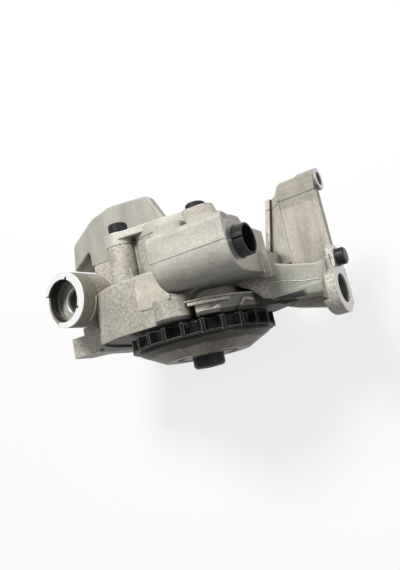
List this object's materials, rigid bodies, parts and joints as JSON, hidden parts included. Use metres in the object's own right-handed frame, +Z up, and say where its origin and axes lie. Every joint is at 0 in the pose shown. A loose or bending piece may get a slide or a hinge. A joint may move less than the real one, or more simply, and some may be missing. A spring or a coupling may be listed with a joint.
{
  "type": "engine oil pump",
  "caption": "Chain-driven gear oil pump in a cast aluminium housing with a relief valve port, a centre bolt tube and a side mounting flange.",
  "frame": {"origin": "drive shaft axis, in the middle plane of the sprocket teeth", "axes": "+Y rearward along the drive shaft, +X out of the mounting flange, +Z up from the flat base towards the valve port"},
  "size_m": [0.1576, 0.0968, 0.1031],
  "materials": {
    "cast_body": "fine granular casting with machined faces",
    "cast_cover": "fine granular casting",
    "bush_bronze": "bored bearing bronze",
    "ground_steel": "ground",
    "gear_steel": "hobbed and hardened",
    "black_sprocket": "black oxide with worn edges",
    "pressed_steel": "pressed sheet, tan grey phosphate",
    "black_bolt": "satin black oxide",
    "black_spring_steel": "black spring steel",
    "spring_steel": "drawn wire",
    "plug_steel": "deep drawn"
  },
  "bodies": {
    "housing": {"pump_body": "cast_body", "rear_cover": "cast_cover", "front_bush": "bush_bronze", "rear_bush": "bush_bronze", "idler_pin": "ground_steel", "cover_screw_left": "black_bolt", "cover_screw_tube": "black_bolt", "cover_screw_lower_right": "black_bolt", "cover_screw_lower_left": "black_bolt", "dowel_left": "ground_steel", "dowel_right": "ground_steel", "locating_sleeve": "black_spring_steel", "locating_pin": "black_spring_steel", "relief_spring": "spring_steel", "relief_plug": "plug_steel", "snap_ring": "black_spring_steel"},
    "drive": {"chain_sprocket": "black_sprocket", "sprocket_dish": "pressed_steel", "sprocket_bolt": "black_bolt", "drive_shaft": "ground_steel", "drive_gear": "gear_steel"},
    "driven": {"driven_gear": "gear_steel"},
    "relief": {"relief_piston": "gear_steel"}
  },
  "joints": [
    {"name": "drive_spin", "type": "hinge", "parent": "housing", "child": "drive", "pos_m": [0, 0, 0], "axis": [0, 1, 0], "continuous": true},
    {"name": "driven_spin", "type": "hinge", "parent": "housing", "child": "driven", "pos_m": [-0.00827, 0.0385, -0.02884], "axis": [0, 1, 0], "continuous": true},
    {"name": "relief_slide", "type": "slide", "parent": "housing", "child": "relief", "axis": [-0.1045, 0, 0.9945], "range_m": [0, 0.007], "stiffness_N_per_m": 3000, "springref_m": -0.004, "deforming": ["relief_spring"]}
  ],
  "couplings": [
    {"joint": "driven_spin", "follows": "drive_spin", "ratio": -1}
  ]
}
